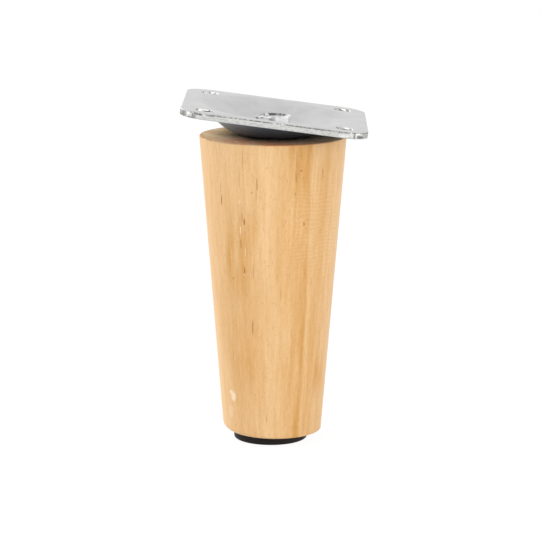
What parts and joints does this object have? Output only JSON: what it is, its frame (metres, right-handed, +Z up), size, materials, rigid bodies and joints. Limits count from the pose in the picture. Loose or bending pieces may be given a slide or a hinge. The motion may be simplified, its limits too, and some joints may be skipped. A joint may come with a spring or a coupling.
{
  "type": "tapered wooden furniture leg",
  "caption": "Round tapered hardwood furniture leg with a black glide under its foot, bolted to a square pressed steel plate that is inclined for a splayed stance.",
  "frame": {"origin": "on the leg's axis at the floor, on the glide's flat floor face", "axes": "+Z up the leg's own axis, +X towards the side that the inclined plate slopes down to"},
  "size_m": [0.0697, 0.07, 0.1321],
  "materials": {
    "leg_wood": "sanded and clear lacquered",
    "glide_plastic": "fine matte",
    "nail_steel": "bright drawn",
    "insert_steel": "zinc plated",
    "plate_zinc": "zinc plated",
    "bolt_zinc": "bright zinc plated"
  },
  "bodies": {
    "root": {"wooden_leg": "leg_wood", "foot_glide": "glide_plastic", "glide_nail": "nail_steel", "threaded_insert": "insert_steel", "mounting_plate": "plate_zinc", "hex_bolt": "bolt_zinc"}
  },
  "joints": []
}
